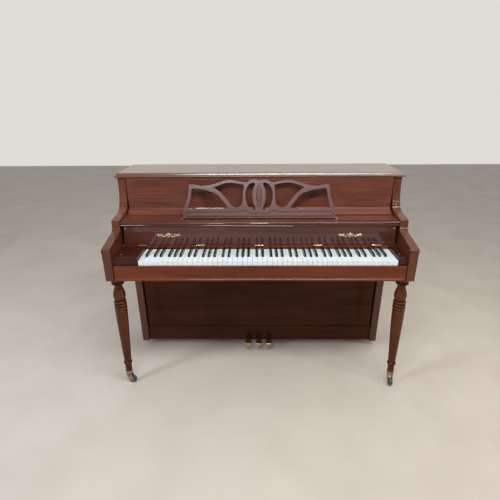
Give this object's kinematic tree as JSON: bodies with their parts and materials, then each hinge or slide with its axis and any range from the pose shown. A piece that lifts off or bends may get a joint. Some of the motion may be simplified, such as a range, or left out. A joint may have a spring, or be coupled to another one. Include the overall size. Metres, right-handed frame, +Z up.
{
  "type": "upright piano",
  "caption": "Upright console piano with turned front legs, a pierced music desk, a hinged fallboard and lid, a full keyboard, pedals and casters.",
  "frame": {"origin": "on the floor, in the middle of the piano's box", "axes": "+X to the player's right along the keyboard, -Y towards the player, +Z up"},
  "size_m": [1.494, 0.6155, 1.11],
  "materials": {
    "mahogany": "satin lacquer",
    "desk_mahogany": "satin lacquer",
    "inner_wood": "bare, planed",
    "spruce": "thin varnish",
    "white_key": "gloss",
    "black_key": "satin gloss",
    "brass": "lightly tarnished",
    "gilt_iron": "bronze paint",
    "steel": "pressed",
    "grey_rubber": "matt"
  },
  "bodies": {
    "case": {"left_side": "mahogany", "right_side": "mahogany", "lid_hinge": "brass", "upper_panel": "mahogany", "music_shelf": "mahogany", "desk_bracket_left": "brass", "desk_bracket_right": "brass", "fallboard_rail": "mahogany", "fallboard_hinge_1": "brass", "fallboard_hinge_2": "brass", "fallboard_hinge_3": "brass", "fallboard_hinge_4": "brass", "fallboard_hinge_5": "brass", "key_block_left": "mahogany", "key_block_right": "mahogany", "keyslip": "mahogany", "keybed": "inner_wood", "front_leg_left": "mahogany", "front_leg_right": "mahogany", "lower_door": "mahogany", "toe_board": "mahogany", "bottom_board": "inner_wood", "back_frame": "inner_wood", "soundboard": "spruce", "pin_block": "inner_wood", "string_plate": "gilt_iron", "action_frame": "inner_wood", "rear_caster_bracket_left": "steel", "rear_caster_bracket_right": "steel"},
    "lid": {"lid": "mahogany"},
    "fallboard": {"fallboard": "mahogany", "fallboard_bumper_left": "grey_rubber", "fallboard_bumper_right": "grey_rubber"},
    "music_desk": {"music_desk": "desk_mahogany"},
    "white_bass": {"white_keys_bass": "white_key"},
    "black_bass": {"black_keys_bass": "black_key"},
    "white_treble": {"white_keys_treble": "white_key"},
    "black_treble": {"black_keys_treble": "black_key"},
    "c4": {"key_c4": "white_key"},
    "c_sharp4": {"key_c_sharp4": "black_key"},
    "d4": {"key_d4": "white_key"},
    "d_sharp4": {"key_d_sharp4": "black_key"},
    "e4": {"key_e4": "white_key"},
    "f4": {"key_f4": "white_key"},
    "f_sharp4": {"key_f_sharp4": "black_key"},
    "g4": {"key_g4": "white_key"},
    "g_sharp4": {"key_g_sharp4": "black_key"},
    "a4": {"key_a4": "white_key"},
    "a_sharp4": {"key_a_sharp4": "black_key"},
    "b4": {"key_b4": "white_key"},
    "soft_pedal": {"soft_pedal": "brass"},
    "middle_pedal": {"middle_pedal": "brass"},
    "damper_pedal": {"damper_pedal": "brass"},
    "damper_rod": {"damper_rod": "inner_wood"},
    "front_fork_left": {"front_caster_fork_left": "brass"},
    "front_wheel_left": {"front_caster_wheel_left": "grey_rubber"},
    "front_fork_right": {"front_caster_fork_right": "brass"},
    "front_wheel_right": {"front_caster_wheel_right": "grey_rubber"},
    "rear_wheel_left": {"rear_caster_wheel_left": "grey_rubber"},
    "rear_wheel_right": {"rear_caster_wheel_right": "grey_rubber"}
  },
  "joints": [
    {"name": "lid_lift", "type": "hinge", "parent": "case", "child": "lid", "pos_m": [0, 0.3047, 1.0872], "axis": [-1, 0, 0], "range_deg": [0, 95]},
    {"name": "fallboard_swing", "type": "hinge", "parent": "case", "child": "fallboard", "pos_m": [0, -0.1455, 0.777], "axis": [1, 0, 0], "range_deg": [0, 95]},
    {"name": "desk_tip", "type": "hinge", "parent": "case", "child": "music_desk", "pos_m": [0, -0.0925, 0.9033], "axis": [1, 0, 0], "range_deg": [0, 30]},
    {"name": "white_bass_press", "type": "hinge", "parent": "case", "child": "white_bass", "pos_m": [-0.30225, -0.0805, 0.735], "axis": [1, 0, 0], "range_deg": [0, 2.7], "stiffness_Nm_per_rad": 25, "springref_deg": -17.19},
    {"name": "black_bass_press", "type": "hinge", "parent": "case", "child": "black_bass", "pos_m": [-0.30225, -0.0805, 0.735], "axis": [1, 0, 0], "range_deg": [0, 2.7], "stiffness_Nm_per_rad": 12, "springref_deg": -17.19},
    {"name": "white_treble_press", "type": "hinge", "parent": "case", "child": "white_treble", "pos_m": [0.391, -0.0805, 0.735], "axis": [1, 0, 0], "range_deg": [0, 2.7], "stiffness_Nm_per_rad": 25, "springref_deg": -17.19},
    {"name": "black_treble_press", "type": "hinge", "parent": "case", "child": "black_treble", "pos_m": [0.391, -0.0805, 0.735], "axis": [1, 0, 0], "range_deg": [0, 2.7], "stiffness_Nm_per_rad": 12, "springref_deg": -17.19},
    {"name": "c4_press", "type": "hinge", "parent": "case", "child": "c4", "pos_m": [-0.02025, -0.0805, 0.735], "axis": [1, 0, 0], "range_deg": [0, 2.7], "stiffness_Nm_per_rad": 1.5, "springref_deg": -11.46},
    {"name": "c_sharp4_press", "type": "hinge", "parent": "case", "child": "c_sharp4", "pos_m": [-0.01109, -0.0805, 0.735], "axis": [1, 0, 0], "range_deg": [0, 2.7], "stiffness_Nm_per_rad": 1.5, "springref_deg": -11.46},
    {"name": "d4_press", "type": "hinge", "parent": "case", "child": "d4", "pos_m": [0.00325, -0.0805, 0.735], "axis": [1, 0, 0], "range_deg": [0, 2.7], "stiffness_Nm_per_rad": 1.5, "springref_deg": -11.46},
    {"name": "d_sharp4_press", "type": "hinge", "parent": "case", "child": "d_sharp4", "pos_m": [0.01759, -0.0805, 0.735], "axis": [1, 0, 0], "range_deg": [0, 2.7], "stiffness_Nm_per_rad": 1.5, "springref_deg": -11.46},
    {"name": "e4_press", "type": "hinge", "parent": "case", "child": "e4", "pos_m": [0.02675, -0.0805, 0.735], "axis": [1, 0, 0], "range_deg": [0, 2.7], "stiffness_Nm_per_rad": 1.5, "springref_deg": -11.46},
    {"name": "f4_press", "type": "hinge", "parent": "case", "child": "f4", "pos_m": [0.05025, -0.0805, 0.735], "axis": [1, 0, 0], "range_deg": [0, 2.7], "stiffness_Nm_per_rad": 1.5, "springref_deg": -11.46},
    {"name": "f_sharp4_press", "type": "hinge", "parent": "case", "child": "f_sharp4", "pos_m": [0.058, -0.0805, 0.735], "axis": [1, 0, 0], "range_deg": [0, 2.7], "stiffness_Nm_per_rad": 1.5, "springref_deg": -11.46},
    {"name": "g4_press", "type": "hinge", "parent": "case", "child": "g4", "pos_m": [0.07375, -0.0805, 0.735], "axis": [1, 0, 0], "range_deg": [0, 2.7], "stiffness_Nm_per_rad": 1.5, "springref_deg": -11.46},
    {"name": "g_sharp4_press", "type": "hinge", "parent": "case", "child": "g_sharp4", "pos_m": [0.0855, -0.0805, 0.735], "axis": [1, 0, 0], "range_deg": [0, 2.7], "stiffness_Nm_per_rad": 1.5, "springref_deg": -11.46},
    {"name": "a4_press", "type": "hinge", "parent": "case", "child": "a4", "pos_m": [0.09725, -0.0805, 0.735], "axis": [1, 0, 0], "range_deg": [0, 2.7], "stiffness_Nm_per_rad": 1.5, "springref_deg": -11.46},
    {"name": "a_sharp4_press", "type": "hinge", "parent": "case", "child": "a_sharp4", "pos_m": [0.11299, -0.0805, 0.735], "axis": [1, 0, 0], "range_deg": [0, 2.7], "stiffness_Nm_per_rad": 1.5, "springref_deg": -11.46},
    {"name": "b4_press", "type": "hinge", "parent": "case", "child": "b4", "pos_m": [0.12075, -0.0805, 0.735], "axis": [1, 0, 0], "range_deg": [0, 2.7], "stiffness_Nm_per_rad": 1.5, "springref_deg": -11.46},
    {"name": "soft_pedal_press", "type": "hinge", "parent": "case", "child": "soft_pedal", "pos_m": [-0.062, 0.1245, 0.073], "axis": [1, 0, 0], "range_deg": [0, 8], "stiffness_Nm_per_rad": 25, "springref_deg": -11.46},
    {"name": "middle_pedal_press", "type": "hinge", "parent": "case", "child": "middle_pedal", "pos_m": [0, 0.1245, 0.073], "axis": [1, 0, 0], "range_deg": [0, 8], "stiffness_Nm_per_rad": 25, "springref_deg": -11.46},
    {"name": "damper_pedal_press", "type": "hinge", "parent": "case", "child": "damper_pedal", "pos_m": [0.062, 0.1245, 0.073], "axis": [1, 0, 0], "range_deg": [0, 8], "stiffness_Nm_per_rad": 25, "springref_deg": -11.46},
    {"name": "damper_rod_rise", "type": "slide", "parent": "case", "child": "damper_rod", "axis": [0, 0, 1], "range_m": [0, 0.0042]},
    {"name": "front_caster_swivel_left", "type": "hinge", "parent": "case", "child": "front_fork_left", "pos_m": [-0.7174, -0.2505, 0.06], "axis": [0, 0, 1], "continuous": true},
    {"name": "front_caster_roll_left", "type": "hinge", "parent": "front_fork_left", "child": "front_wheel_left", "pos_m": [-0.7014, -0.2505, 0.021], "axis": [0, 1, 0], "continuous": true},
    {"name": "front_caster_swivel_right", "type": "hinge", "parent": "case", "child": "front_fork_right", "pos_m": [0.7174, -0.2505, 0.06], "axis": [0, 0, 1], "continuous": true},
    {"name": "front_caster_roll_right", "type": "hinge", "parent": "front_fork_right", "child": "front_wheel_right", "pos_m": [0.7174, -0.2665, 0.021], "axis": [1, 0, 0], "continuous": true},
    {"name": "rear_caster_roll_left", "type": "hinge", "parent": "case", "child": "rear_wheel_left", "pos_m": [-0.63, 0.2615, 0.025], "axis": [1, 0, 0], "continuous": true},
    {"name": "rear_caster_roll_right", "type": "hinge", "parent": "case", "child": "rear_wheel_right", "pos_m": [0.63, 0.2615, 0.025], "axis": [1, 0, 0], "continuous": true}
  ],
  "couplings": [
    {"joint": "damper_rod_rise", "follows": "damper_pedal_press", "m_per_rad": 0.03}
  ]
}
